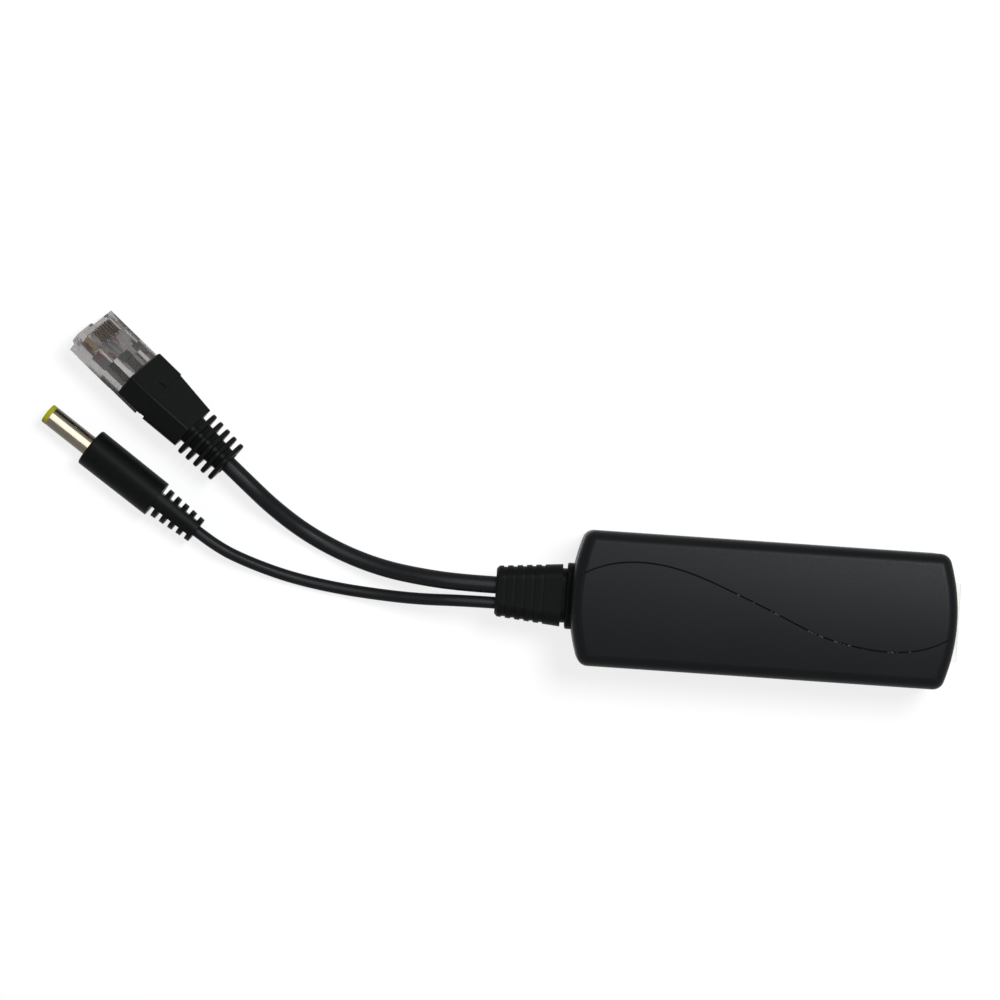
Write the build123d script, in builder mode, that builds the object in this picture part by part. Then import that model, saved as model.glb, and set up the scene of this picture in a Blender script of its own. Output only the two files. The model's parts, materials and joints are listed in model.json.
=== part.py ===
from build123d import *
from math import pi, radians, sqrt, tan
import os

# In-line PoE splitter: a moulded housing with a network socket in one end and a twin
# strain relief in the other, from which a network lead and a DC lead run to their plugs.
# Millimetres. Origin at the middle of the housing's underside, +X towards the socket, +Z up.

# Housing
housing_length = 86.0  # between the crowns of the bowed ends
housing_width = 30.2
housing_height = 23.0
end_bow = 2.8  # rise of each bowed end over its corners
corner_radius = 2.6
edge_radius = 2.6
least_corner = 0.4  # corners of the inner outlines stay at least this round
wall = 1.8
seam_chamfer = 0.25
lip_height = 1.6
lip_clearance = 0.1
line_width = 0.42  # engraved line on the lid
line_depth = 0.35
line_end_gap = 1.8  # from the line's ends to the crowns of the housing's ends
line_side_gap = 6.5  # from the line's highest bow to the housing's long side
port_clearance = 0.15

# Network socket
socket_width = 16.2
socket_height = 13.4
socket_depth = 21.0
socket_proud = 0.5
rim_width = 17.6
rim_height = 15.2
rim_depth = 3.2
cavity_width = 11.9
cavity_height = 6.9
cavity_depth = 14.5
cavity_drop = 0.5  # the cavity's middle sits this far above the port's centre
latch_slot_width = 6.6
latch_slot_drop = 1.7
latch_mouth_width = 4.4
latch_mouth_depth = 1.6
spring_pitch = 1.02
spring_size = 0.42
spring_channel = 1.2
spring_leg_back = 2.2  # legs of the springs, from the socket's back
spring_leg_room = 1.2
spring_fold = 1.0  # fold of the springs, behind the rim
spring_tip = 3.0  # tips of the springs, from the cavity's back
spring_dip = 2.0  # the tips hang this far below the cavity's roof
spring_bend = 0.5
rim_edge = 0.5
ways = 8

# Board and what stands on it
board_side_gap = 0.9  # between the board's long edges and the housing's walls
board_stand = 1.4  # the board lies on posts of this height
board_thickness = 1.6
board_inset = 1.2  # small parts stand this far inside the board's long edges
board_gap = 1.2
board_corner = 1.0
post_size = 3.0
post_columns = 3
chip_edge = 0.3
data_length = 10.0
data_width = 14.0
data_height = 6.2
data_gap = 2.0  # from the socket's back to the data transformer
core_length = 13.0
core_width = 12.6
core_height = 10.6
core_stand = 1.0  # the core stands off the board on the bobbin's feet
core_leg = 2.6
core_back = 2.2
centre_leg = 3.6
winding_gap = 0.1
winding_round = 1.2
winding_proud = 1.5  # the winding stands out of the core at both sides
bobbin_foot = 1.2
row_gap = 8.6  # between the two transformers, where the bridges stand
power_edge_gap = 0.4  # from the winding to the board's long edge
bridge_length = 4.8
bridge_width = 4.0
bridge_height = 2.5
bridge_gap = 1.0
optocoupler_length = 4.6
optocoupler_width = 6.4
optocoupler_height = 3.5
controller_length = 4.9
controller_width = 4.0
controller_height = 1.5
controller_gap = 1.2  # from the output can to the controller
can_diameter = 8.0
can_edge_gap = 1.0  # from the cans to the board's long edge
can_edge = 0.5
can_groove_height = 1.6
can_groove_width = 0.7
can_groove_depth = 0.4
input_can_headroom = 4.9  # from the cans' tops to the lid
output_can_headroom = 2.4
can_gap = 5.2  # from the power transformer's core to the can's middle
choke_diameter = 7.6
choke_core_diameter = 6.4
choke_height = 8.0
choke_flange = 1.5
choke_gap = 3.0  # between the input can and the choke
diode_length = 5.2
diode_width = 3.6
diode_height = 2.4
output_inset = 8.6  # output can and diode, from the board's end

# Strain relief
relief_length = 14.75  # from the neck to the end the leads leave by
relief_root_width = 14.0
relief_root_height = 9.4
relief_end_width = 11.3
relief_end_height = 7.6
relief_round = 3.0
flange_width = 14.8
flange_height = 11.0
flange_thickness = 0.95  # at the crown of the bowed end
flange_edge = 0.4
neck_length = 1.1
neck_width = 12.2
neck_height = 7.6
inner_flange_thickness = 1.2
inner_flange_width = 13.8
inner_flange_height = 10.0
flange_gap = 0.05
neck_round = 2.8
relief_edge = 0.6
rib_grooves = 5
rib_groove_pitch = 2.1
rib_groove_width = 0.9
rib_groove_depth = 0.28
rib_groove_start = 2.0  # first groove, from the end the leads leave by

# Leads
arc_share = 0.45  # each arc of a lead takes this share of the shorter run beside it
network_diameter = 3.9
dc_diameter = 2.7
network_exit_y = 1.3
dc_exit_y = -2.7
core_diameter = 0.8
dc_core_diameter = 1.2
core_spread = 1.1  # between the middles of two cores side by side
core_bend = 1.2
pad_inset = 4.2  # first row of pads, from the board's end
pad_row_pitch = 1.6
dc_core_spread = 1.6
dc_core_shift = -0.6

# Network plug and boot, stations along the plug's own axis from the boot's cable end
plug_end = (-121.9, 24.3, 7.05)
plug_turn = 139.6  # heading of the nose, from +X
plug_roll = 50.0  # the contact face leans over by this much
plug_width = 11.7
plug_height = 6.6
plug_length = 20.5
plug_reach = 43.3  # boot's cable end to the front edge of the contact face
nose_lip = 1.3  # the latch's root stands proud of the front by this much
nose_lip_width = 6.8
nose_lip_height = 2.1
boot_length = 28.8
boot_width = 13.0
boot_top = 4.2
boot_bottom = 4.25
boot_straight = 7.0
boot_step = 0.2  # small step where the straight part ends
boot_open = 8.0  # open under the latch, from the boot's front
boot_side = 1.9  # the side walls reach this far below the axis there
boot_front_edge = 0.3
dimple_station = 22.6
dimple_side = 1.6
dimple_diameter = 2.0
dimple_depth = 0.15
boot_rear_width = 10.4
boot_rear_top = 3.7
boot_rear_bottom = 3.9
tail_length = 11.4
tail_ribs = 5
tail_pitch = 2.22
tail_rib = 1.1
boot_rib_width = 10.6
boot_rib_height = 9.0
boot_rib_taper = 0.19  # each rib is smaller than the one before it by this much
boot_rib_edge = 0.35
boot_core_width = 6.8
boot_core_height = 6.0
boot_core_end = 5.2
boot_core_round = 2.2
boot_rib_round = 2.5
boot_top_round = 0.9
boot_latch_round = 2.4
first_rib = 0.2
plug_clearance = 0.1
plug_nose_round = 0.7
jacket_reach = 9.0  # jacket's end, back from the plug's front edge
press_length = 2.5  # the jacket turns from round to flat over this length inside the plug
pressed_width = 5.4
pressed_height = 3.0
clamp_start = 29.1  # window of the clamp that presses the jacket
clamp_length = 3.2
clamp_width = 6.4
clamp_wall = 0.7
clamp_seat = 0.02
bundle_rise = 0.42  # the cores leave the jacket in two rows, this far above and below its axis
fan_length = 4.0
fan_start = 0.6
fan_bend = 1.5
fan_room = 0.2
fan_height = 3.2
core_room = 0.1
plug_core_diameter = 0.78
wire_drop = 0.45  # the row of cores lies this far below the plug's axis
wire_setback = 0.7  # end of the channels, from the plug's front edge
wire_end_gap = 0.3
blade_pitch = 1.02
blade_thickness = 0.34
blade_length = 3.5
blade_setback = 1.05
blade_recess = 0.5
blade_seat = 0.02
slot_clearance = 0.05
latch_width = 6.2
latch_thumb_width = 3.6
latch_thickness = 1.05
latch_gap = 1.6
latch_length = 21.0
latch_shoulder = 12.0  # from the plug's front edge to the narrow part of the latch
latch_root = 1.6  # thickness of the hinge where the latch leaves the nose
latch_slope = 2.2  # from the plug's front edge to the end of the latch's sloping part
latch_sink = 0.4

# DC plug, stations along its own axis from the tail's cable end
dc_end = (-128.2, 8.8, 4.6)
dc_turn = 145.5
dc_tail_length = 11.4
dc_tail_pitch = 2.28
dc_tail_rib = 1.15
dc_tail_root = 7.7
dc_tail_tip = 6.1
dc_spine = 3.7
grip_length = 19.2
grip_front = 9.1
grip_rear = 8.8
grip_round = 0.5
barrel_diameter = 4.75
barrel_wall = 0.35
barrel_reach = 11.1
barrel_seat = 3.0
barrel_root_diameter = 5.4  # the barrel's root, moulded into the grip
barrel_shoulder = 0.2  # the root stands out of the grip by this much
tip_length = 1.2
bore_diameter = 1.7
sleeve_wall = 0.3
sleeve_recess = 0.8
sleeve_gap = 0.03
tip_edge = 0.35

# Places that follow from the sizes
crown_x = housing_length / 2
socket_front = crown_x + socket_proud
socket_back = socket_front - socket_depth
board_bottom = wall + board_stand
board_top = board_bottom + board_thickness
port_height = board_top + socket_height / 2  # centre of both end openings, where the shells part
neck_x = -crown_x - flange_thickness
relief_root_x = neck_x - neck_length
relief_end_x = relief_root_x - relief_length
inner_half_width = housing_width / 2 - wall
bow_radius = (inner_half_width ** 2 + end_bow ** 2) / (2 * end_bow)
flange_drop = bow_radius - sqrt(bow_radius ** 2 - inner_flange_width ** 2 / 4)
inner_flange_x = -crown_x + wall + flange_drop + flange_gap
relief_inner_x = inner_flange_x + inner_flange_thickness
board_left = relief_inner_x + board_gap
board_right = crown_x - wall - end_bow - lip_clearance
board_width = housing_width - 2 * (wall + board_side_gap)
board_edge = board_width / 2
post_pitch = (board_right - board_left - 2 * post_size) / (post_columns - 1)
cavity_floor = cavity_drop - cavity_height / 2
cavity_roof = cavity_drop + cavity_height / 2
spring_leg_x = socket_back + spring_leg_back
spring_level = port_height + cavity_roof + spring_channel / 2
data_x = socket_back - data_gap - data_length / 2
power_x = data_x - data_length / 2 - row_gap - core_length / 2
bridge_x = data_x - data_length / 2 - row_gap / 2
input_x = power_x - core_length / 2 - can_gap
output_x = board_left + output_inset
power_y = board_edge - power_edge_gap - winding_proud - core_width / 2
bridge_y = board_edge - board_inset - bridge_width / 2
optocoupler_y = board_inset + optocoupler_width / 2 - board_edge
diode_y = board_inset + diode_width / 2 - board_edge
can_y = board_edge - can_edge_gap - can_diameter / 2
controller_y = can_y - (can_diameter + controller_width) / 2 - controller_gap
choke_y = can_y - (can_diameter + choke_diameter) / 2 - choke_gap
input_can_height = housing_height - wall - input_can_headroom - board_top
output_can_height = housing_height - wall - output_can_headroom - board_top
plug_rear = plug_reach - plug_length
jacket_end = plug_reach - jacket_reach
row_end = plug_reach - wire_setback
press_end = plug_rear + press_length

plug_heading = Vector(1, 0, 0).rotate(Axis.Z, plug_turn)
plug_up = Vector(0, 0, 1).rotate(Axis((0, 0, 0), plug_heading), plug_roll)
network_frame = Plane(plug_end, x_dir=plug_heading, z_dir=plug_up)
dc_frame = Plane(dc_end, x_dir=Vector(1, 0, 0).rotate(Axis.Z, dc_turn), z_dir=(0, 0, 1))


def placed(frame, plane):
    """A plane given in a plug's own axes, as a plane of the whole part."""
    return Plane(frame.location * plane.location)


def port_plane(x):
    """Upright plane across the housing at x, centred on the end openings."""
    return Plane(origin=(x, 0, port_height), x_dir=(0, 1, 0), z_dir=(1, 0, 0))


def across(frame, station):
    """Plane across a plug's axis at a station, its x across the plug, its y towards the top."""
    return placed(frame, Plane(origin=(station, 0, 0), x_dir=(0, 1, 0), z_dir=(1, 0, 0)))


def beside(frame, offset=0):
    """Plane along a plug's axis and its top direction, at an offset across the plug."""
    return placed(frame, Plane(origin=(0, offset, 0), x_dir=(1, 0, 0), z_dir=(0, -1, 0)))


def housing_face(inset):
    """Plan outline of the housing with its bowed ends, moved in by inset."""
    half_length = housing_length / 2 - inset
    half_width = housing_width / 2 - inset
    corner_x = half_length - end_bow
    with BuildSketch() as face:
        with BuildLine() as outline:
            Line((-corner_x, half_width), (corner_x, half_width))
            ThreePointArc((corner_x, half_width), (half_length, 0), (corner_x, -half_width))
            Line((corner_x, -half_width), (-corner_x, -half_width))
            ThreePointArc((-corner_x, -half_width), (-half_length, 0), (-corner_x, half_width))
        make_face()
        fillet(face.vertices(), max(corner_radius - inset, least_corner))
    return face.sketch


def save(builder, name):
    """Name a finished piece and write it."""
    builder.part.label = name
    export_step(builder.part, f"parts/{name}.step")


os.makedirs("parts", exist_ok=True)

# Course of the engraved line, as shares of its half length and of its highest bow
line_reach = crown_x - line_end_gap
line_rise = housing_width / 2 - line_side_gap
line_course = [
    (-0.995, 0.593), (-0.726, 1.0), (-0.468, 0.884), (-0.158, 0.366), (0.075, -0.099),
    (0.308, -0.57), (0.539, -0.814), (0.706, -0.86), (0.898, -0.686), (1.0, -0.43),
]

# Lid half of the housing
with BuildPart() as top_shell:
    with BuildSketch(Plane.XY.offset(port_height)):
        add(housing_face(0))
    extrude(amount=housing_height - port_height)
    fillet(top_shell.faces().sort_by(Axis.Z)[-1].edges(), edge_radius)
    chamfer(top_shell.faces().sort_by(Axis.Z)[0].edges(), seam_chamfer)
    with BuildSketch(Plane.XY.offset(port_height)):
        add(housing_face(wall))
    extrude(amount=housing_height - wall - port_height, mode=Mode.SUBTRACT)
    with BuildSketch(Plane.XY.offset(port_height)):
        add(housing_face(wall / 2))
    extrude(amount=lip_height + lip_clearance, mode=Mode.SUBTRACT)
    with BuildSketch(Plane.XY.offset(housing_height)):
        with BuildLine():
            Spline(*[(line_reach * along, line_rise * aside) for along, aside in line_course])
        trace(line_width=line_width)
    extrude(amount=-line_depth, mode=Mode.SUBTRACT)
    with BuildSketch(port_plane(0)):
        Rectangle(rim_width + 2 * port_clearance, rim_height + 2 * port_clearance)
    extrude(amount=housing_length, mode=Mode.SUBTRACT)
    with BuildSketch(port_plane(0)):
        RectangleRounded(neck_width + 2 * port_clearance, neck_height + 2 * port_clearance, relief_round)
    extrude(amount=-housing_length, mode=Mode.SUBTRACT)
save(top_shell, "top_shell")

# Base half of the housing, with its lip and the posts under the board
with BuildPart() as bottom_shell:
    with BuildSketch():
        add(housing_face(0))
    extrude(amount=port_height)
    fillet(bottom_shell.faces().sort_by(Axis.Z)[0].edges(), edge_radius)
    chamfer(bottom_shell.faces().sort_by(Axis.Z)[-1].edges(), seam_chamfer)
    with BuildSketch(Plane.XY.offset(port_height)):
        add(housing_face(wall / 2 + lip_clearance))
    extrude(amount=lip_height)
    with BuildSketch(Plane.XY.offset(wall)):
        add(housing_face(wall))
    extrude(amount=port_height + lip_height, mode=Mode.SUBTRACT)
    with BuildSketch(port_plane(0)):
        Rectangle(rim_width + 2 * port_clearance, rim_height + 2 * port_clearance)
    extrude(amount=housing_length, mode=Mode.SUBTRACT)
    with BuildSketch(port_plane(0)):
        RectangleRounded(neck_width + 2 * port_clearance, neck_height + 2 * port_clearance, relief_round)
    extrude(amount=-housing_length, mode=Mode.SUBTRACT)
    with BuildSketch(Plane.XY.offset(wall)):
        with Locations(((board_left + board_right) / 2, 0)):
            with GridLocations(post_pitch, board_width - post_size, post_columns, 2):
                Rectangle(post_size, post_size)
    extrude(amount=board_stand)
save(bottom_shell, "bottom_shell")

# Circuit board
with BuildPart() as circuit_board:
    with BuildSketch(Plane.XY.offset(board_bottom)):
        with Locations(((board_left + board_right) / 2, 0)):
            RectangleRounded(board_right - board_left, board_width, board_corner)
    extrude(amount=board_thickness)
save(circuit_board, "circuit_board")

# Moulded socket body: rim, cavity with its latch slot, and the channel of the springs
with BuildPart() as network_socket:
    with BuildSketch(port_plane(socket_back)):
        Rectangle(socket_width, socket_height)
    extrude(amount=socket_depth)
    with BuildSketch(port_plane(socket_front - rim_depth)):
        Rectangle(rim_width, rim_height)
    extrude(amount=rim_depth)
    fillet(network_socket.faces().sort_by(Axis.X)[-1].edges(), rim_edge)
    with BuildSketch(port_plane(socket_front)):
        with Locations((0, cavity_drop)):
            Rectangle(cavity_width, cavity_height)
    extrude(amount=-cavity_depth, mode=Mode.SUBTRACT)
    with BuildSketch(port_plane(socket_front)):
        with Locations((0, cavity_floor)):
            Rectangle(latch_mouth_width, 2 * latch_slot_drop)
    extrude(amount=-cavity_depth, mode=Mode.SUBTRACT)
    with BuildSketch(port_plane(socket_front - latch_mouth_depth)):
        with Locations((0, cavity_floor)):
            Rectangle(latch_slot_width, 2 * latch_slot_drop)
    extrude(amount=latch_mouth_depth - cavity_depth, mode=Mode.SUBTRACT)
    with BuildSketch(port_plane(socket_front - rim_depth)):
        with Locations((0, cavity_roof)):
            Rectangle(ways * spring_pitch, 2 * spring_channel)
    extrude(amount=rim_depth - cavity_depth, mode=Mode.SUBTRACT)
    with BuildSketch(port_plane(spring_leg_x - spring_leg_room / 2)):
        with Locations((0, cavity_roof)):
            Rectangle(ways * spring_pitch, 2 * spring_channel)
    extrude(amount=socket_depth - cavity_depth, mode=Mode.SUBTRACT)
    with BuildSketch(port_plane(spring_leg_x - spring_leg_room / 2)):
        with Locations((0, (cavity_roof - socket_height / 2) / 2)):
            Rectangle(ways * spring_pitch, cavity_roof + socket_height / 2)
    extrude(amount=spring_leg_room, mode=Mode.SUBTRACT)
save(network_socket, "network_socket")

# Spring wires of the socket, soldered to the board and folded back into the cavity
with BuildPart() as socket_contacts:
    for way in range(ways):
        way_y = (way - (ways - 1) / 2) * spring_pitch
        with BuildSketch(Plane.XZ.offset(-way_y)):
            with BuildLine():
                FilletPolyline(
                    (spring_leg_x, board_top),
                    (spring_leg_x, spring_level),
                    (socket_front - rim_depth - spring_fold, spring_level),
                    (socket_front - cavity_depth + spring_tip, port_height + cavity_roof - spring_dip),
                    radius=spring_bend,
                )
            trace(line_width=spring_size)
        extrude(amount=spring_size / 2, both=True)
save(socket_contacts, "socket_contacts")


def block_on_board(name, length, width, height, places):
    """Moulded blocks of one size standing on the board."""
    with BuildPart() as block:
        with BuildSketch(Plane.XY.offset(board_top)):
            with Locations(*places):
                Rectangle(length, width)
        extrude(amount=height)
        chamfer(block.faces().sort_by(Axis.Z)[-1].edges(), chip_edge)
    save(block, name)


def can_on_board(name, height, place):
    """Upright aluminium can with the rolled groove near its foot."""
    with BuildPart() as can:
        with BuildSketch(Plane.XY.offset(board_top)):
            with Locations(place):
                Circle(can_diameter / 2)
        extrude(amount=height)
        fillet(can.faces().sort_by(Axis.Z)[-1].edges(), can_edge)
        with BuildSketch(Plane.XY.offset(board_top + can_groove_height)):
            with Locations(place):
                Circle(can_diameter / 2)
                Circle(can_diameter / 2 - can_groove_depth, mode=Mode.SUBTRACT)
        extrude(amount=can_groove_width, mode=Mode.SUBTRACT)
    save(can, name)


bridge_places = [(bridge_x, bridge_y), (bridge_x, bridge_y - bridge_width - bridge_gap)]
optocoupler_places = [(bridge_x, optocoupler_y)]
controller_places = [(output_x, controller_y)]
block_on_board("data_transformer", data_length, data_width, data_height, [(data_x, 0)])
block_on_board("bridge_rectifiers", bridge_length, bridge_width, bridge_height, bridge_places)
block_on_board("optocoupler", optocoupler_length, optocoupler_width, optocoupler_height, optocoupler_places)
block_on_board("controller_chip", controller_length, controller_width, controller_height, controller_places)
block_on_board("output_diode", diode_length, diode_width, diode_height, [(output_x, diode_y)])
can_on_board("input_capacitor", input_can_height, (input_x, can_y))
can_on_board("output_capacitor", output_can_height, (output_x, can_y))

# Power transformer: the core's legs and backs round the bobbin's window
window_length = core_length - 2 * core_leg
window_height = core_height - 2 * core_back
with BuildPart() as power_transformer_core:
    with BuildSketch(Plane.XY.offset(board_top + core_stand)):
        with Locations((power_x, power_y)):
            Rectangle(core_length, core_width)
    extrude(amount=core_height)
    with BuildSketch(Plane.XZ.offset(-power_y)):
        with Locations((power_x, board_top + core_stand + core_height / 2)):
            Rectangle(window_length, window_height)
            Rectangle(centre_leg, window_height, mode=Mode.SUBTRACT)
    extrude(amount=core_width, both=True, mode=Mode.SUBTRACT)
save(power_transformer_core, "power_transformer_core")

# Bobbin with its winding, round the core's middle leg, on feet that reach the board
coil_length = window_length - 2 * winding_gap
with BuildPart() as power_transformer_bobbin:
    with BuildSketch(Plane.XY.offset(board_top + core_stand + core_back + winding_gap)):
        with Locations((power_x, power_y)):
            RectangleRounded(coil_length, core_width + 2 * winding_proud, winding_round)
            Rectangle(centre_leg + 2 * winding_gap, core_width + 2 * winding_gap, mode=Mode.SUBTRACT)
    extrude(amount=window_height - 2 * winding_gap)
    with BuildSketch(Plane.XY.offset(board_top)):
        with Locations((power_x, power_y)):
            with GridLocations(0, core_width + 2 * winding_gap + bobbin_foot, 1, 2):
                Rectangle(coil_length - 2 * winding_gap, bobbin_foot)
    extrude(amount=core_stand + core_back + 2 * winding_gap)
save(power_transformer_bobbin, "power_transformer_bobbin")

# Drum choke: a ferrite drum with the winding between its flanges, sealed as one piece
with BuildPart() as filter_inductor:
    with BuildSketch(Plane.XY.offset(board_top)):
        with Locations((input_x, choke_y)):
            Circle(choke_diameter / 2)
    extrude(amount=choke_height)
    with BuildSketch(Plane.XY.offset(board_top + choke_flange)):
        with Locations((input_x, choke_y)):
            Circle(choke_diameter / 2)
            Circle(choke_core_diameter / 2, mode=Mode.SUBTRACT)
    extrude(amount=choke_height - 2 * choke_flange, mode=Mode.SUBTRACT)
save(filter_inductor, "filter_inductor")


# Strain relief: tapered block with grooves, neck, flange against the bowed end, and the
# part that passes the wall and holds behind it
def relief_section(x):
    """Width and height of the relief's tapered block at x."""
    share = (relief_root_x - x) / relief_length
    width = relief_root_width + share * (relief_end_width - relief_root_width)
    height = relief_root_height + share * (relief_end_height - relief_root_height)
    return width, height


with BuildPart() as strain_relief:
    with BuildSketch(port_plane(neck_x)):
        RectangleRounded(flange_width, flange_height, relief_round)
    extrude(amount=flange_thickness + end_bow)
    fillet(strain_relief.faces().sort_by(Axis.X)[0].edges(), flange_edge)
    with BuildSketch():
        add(housing_face(-flange_gap))
    extrude(amount=housing_height, mode=Mode.SUBTRACT)
    with BuildSketch(port_plane(relief_root_x)):
        RectangleRounded(neck_width, neck_height, neck_round)
    extrude(amount=relief_inner_x - relief_root_x)
    with BuildSketch(port_plane(inner_flange_x)):
        RectangleRounded(inner_flange_width, inner_flange_height, relief_round)
    extrude(amount=inner_flange_thickness)
    with BuildSketch(port_plane(relief_root_x)):
        RectangleRounded(relief_root_width, relief_root_height, relief_round)
    with BuildSketch(port_plane(relief_end_x)):
        RectangleRounded(relief_end_width, relief_end_height, relief_round)
    loft()
    for groove in range(rib_grooves):
        groove_x = relief_end_x + rib_groove_start + groove * rib_groove_pitch
        width, height = relief_section(groove_x)
        with BuildSketch(port_plane(groove_x - rib_groove_width / 2)):
            Rectangle(2 * width, 2 * height)
            RectangleRounded(
                width - 2 * rib_groove_depth, height - 2 * rib_groove_depth,
                relief_round - rib_groove_depth, mode=Mode.SUBTRACT,
            )
        extrude(amount=rib_groove_width, mode=Mode.SUBTRACT)
    chamfer(strain_relief.faces().sort_by(Axis.X)[0].edges(), relief_edge)
save(strain_relief, "strain_relief")

# Cores from the strain relief down to the board
with BuildPart() as network_leads:
    for row in range(2):
        for column in range(ways // 2):
            core_y = network_exit_y + (column - (ways / 2 - 1) / 2) * core_spread
            core_z = port_height + (0.5 - row) * core_spread
            pad_x = board_left + pad_inset - row * pad_row_pitch
            with BuildLine() as core_path:
                FilletPolyline(
                    (relief_inner_x, core_y, core_z),
                    (pad_x, core_y, core_z),
                    (pad_x, core_y, board_top),
                    radius=core_bend,
                )
            with BuildSketch(Plane(core_path.line @ 0, x_dir=(0, 1, 0), z_dir=(1, 0, 0))):
                Circle(core_diameter / 2)
            sweep(path=core_path.line)
save(network_leads, "network_leads")

with BuildPart() as dc_leads:
    for side in (-1, 1):
        core_y = dc_exit_y + dc_core_shift + side * dc_core_spread / 2
        pad_x = board_left + pad_inset
        with BuildLine() as core_path:
            FilletPolyline(
                (relief_inner_x, core_y, port_height),
                (pad_x, core_y, port_height),
                (pad_x, core_y, board_top),
                radius=core_bend,
            )
        with BuildSketch(Plane(core_path.line @ 0, x_dir=(0, 1, 0), z_dir=(1, 0, 0))):
            Circle(dc_core_diameter / 2)
        sweep(path=core_path.line)
save(dc_leads, "dc_leads")


def lead_tube(route, diameter, name):
    """Plain tube of a free lead: straight runs joined by arcs as large as the runs allow."""
    corners = [Vector(point) for point in route]
    runs = [after - before for before, after in zip(corners, corners[1:])]
    radii = []
    for before, after in zip(runs, runs[1:]):
        half_turn = radians(before.get_angle(after)) / 2
        radii.append(arc_share * min(before.length, after.length) / tan(half_turn))
    with BuildPart() as tube:
        with BuildLine() as path:
            FilletPolyline(*corners, radius=radii)
        with BuildSketch(Plane(corners[0], z_dir=runs[0])):
            Circle(diameter / 2)
        sweep(path=path.line)
    save(tube, name)
    length = sum(edge.length for edge in path.line.edges())
    full = pi * diameter ** 2 / 4 * length
    print(name, "length", round(length, 2), "volume share", round(tube.part.volume / full, 4))
    print("  runs ", [round(run.length, 1) for run in runs])
    print("  radii", [round(radius, 1) for radius in radii])


# Routes of the leads: straight out of the strain relief, down to the surface, up into the plugs
network_route = [
    (relief_end_x, network_exit_y, port_height),
    (-67.6, network_exit_y, port_height),
    (-76.2, 1.85, 8.8),
    (-85.4, 3.1, 4.9),
    (-94.6, 5.8, 2.1),
    (-103.6, 10.0, 2.3),
    (-111.1, 15.1, 4.8),
    (-116.874, 20.022, 7.05),
    plug_end,
]
dc_route = [
    (relief_end_x, dc_exit_y, port_height),
    (-67.0, dc_exit_y, port_height),
    (-77.0, -3.15, 7.4),
    (-87.0, -2.8, 3.3),
    (-96.5, -2.0, 1.45),
    (-106.5, -0.35, 1.55),
    (-115.6, 2.3, 3.0),
    (-123.255, 5.402, 4.6),
    dc_end,
]
lead_tube(network_route, network_diameter, "network_cable")
lead_tube(dc_route, dc_diameter, "dc_cable")

# Boot of the network plug: sleeve over the plug's rear, tapering to a ribbed tail
def boot_outline(width, top, bottom):
    """Section of the boot: small corners beside the contacts, large ones beside the latch."""
    with BuildSketch() as face:
        with Locations((0, (top - bottom) / 2)):
            Rectangle(width, top + bottom)
        fillet(face.vertices().group_by(Axis.Y)[-1], boot_top_round)
        fillet(face.vertices().group_by(Axis.Y)[0], boot_latch_round)
    return face.sketch


def boot_rib(rib):
    """One rib of the boot's tail, counted from the cable end, with its rim rounded off."""
    shrink = boot_rib_taper * (tail_ribs - 1 - rib)
    with BuildPart() as plate:
        with BuildSketch(across(network_frame, first_rib + rib * tail_pitch)):
            RectangleRounded(boot_rib_width - shrink, boot_rib_height - shrink, boot_rib_round)
        extrude(amount=tail_rib)
        sides = plate.faces().sort_by(Axis(plug_end, network_frame.x_dir))
        fillet(sides[0].edges() + sides[-1].edges(), boot_rib_edge)
    return plate.part


ribs = [boot_rib(rib) for rib in range(tail_ribs)]
with BuildPart() as plug_boot:
    with BuildSketch(across(network_frame, boot_length)):
        add(boot_outline(boot_width, boot_top, boot_bottom))
    extrude(amount=-boot_straight)
    chamfer(plug_boot.faces().sort_by(Axis(plug_end, network_frame.x_dir))[-1].edges(), boot_front_edge)
    with BuildSketch(across(network_frame, boot_length - boot_straight)):
        add(boot_outline(boot_width - 2 * boot_step, boot_top - boot_step, boot_bottom - boot_step))
    with BuildSketch(across(network_frame, tail_length)):
        add(boot_outline(boot_rear_width, boot_rear_top, boot_rear_bottom))
    loft()
    with BuildSketch(across(network_frame, tail_length)):
        RectangleRounded(boot_core_width, boot_core_height, boot_core_round)
    with BuildSketch(across(network_frame, 0)):
        RectangleRounded(boot_core_end, boot_core_end, boot_core_round)
    loft()
    add(ribs)
    with BuildSketch(across(network_frame, boot_length)):
        with Locations((0, -boot_bottom)):
            Rectangle(2 * boot_width, 2 * (boot_bottom - boot_side))
    extrude(amount=-boot_open, mode=Mode.SUBTRACT)
    with BuildSketch(placed(network_frame, Plane.XY.offset(boot_top))):
        with Locations((dimple_station, dimple_side)):
            Circle(dimple_diameter / 2)
    extrude(amount=-dimple_depth, mode=Mode.SUBTRACT)
    with BuildSketch(across(network_frame, boot_length)):
        Rectangle(plug_width + 2 * plug_clearance, plug_height + 2 * plug_clearance)
    extrude(amount=plug_rear - boot_length - plug_clearance, mode=Mode.SUBTRACT)
    with BuildSketch(across(network_frame, plug_rear)):
        Circle(network_diameter / 2 + plug_clearance / 2)
    extrude(amount=-plug_rear, mode=Mode.SUBTRACT)
save(plug_boot, "plug_boot")

# Lead's jacket inside the boot and the plug, where the clamp presses it flat
with BuildPart() as network_cable_end:
    with BuildSketch(across(network_frame, 0)):
        Circle(network_diameter / 2)
    extrude(amount=plug_rear)
    with BuildSketch(across(network_frame, plug_rear)):
        Circle(network_diameter / 2)
    with BuildSketch(across(network_frame, press_end)):
        SlotOverall(pressed_width, pressed_height)
    loft()
    with BuildSketch(across(network_frame, press_end)):
        SlotOverall(pressed_width, pressed_height)
    extrude(amount=jacket_end - press_end)
save(network_cable_end, "network_cable_end")

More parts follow.
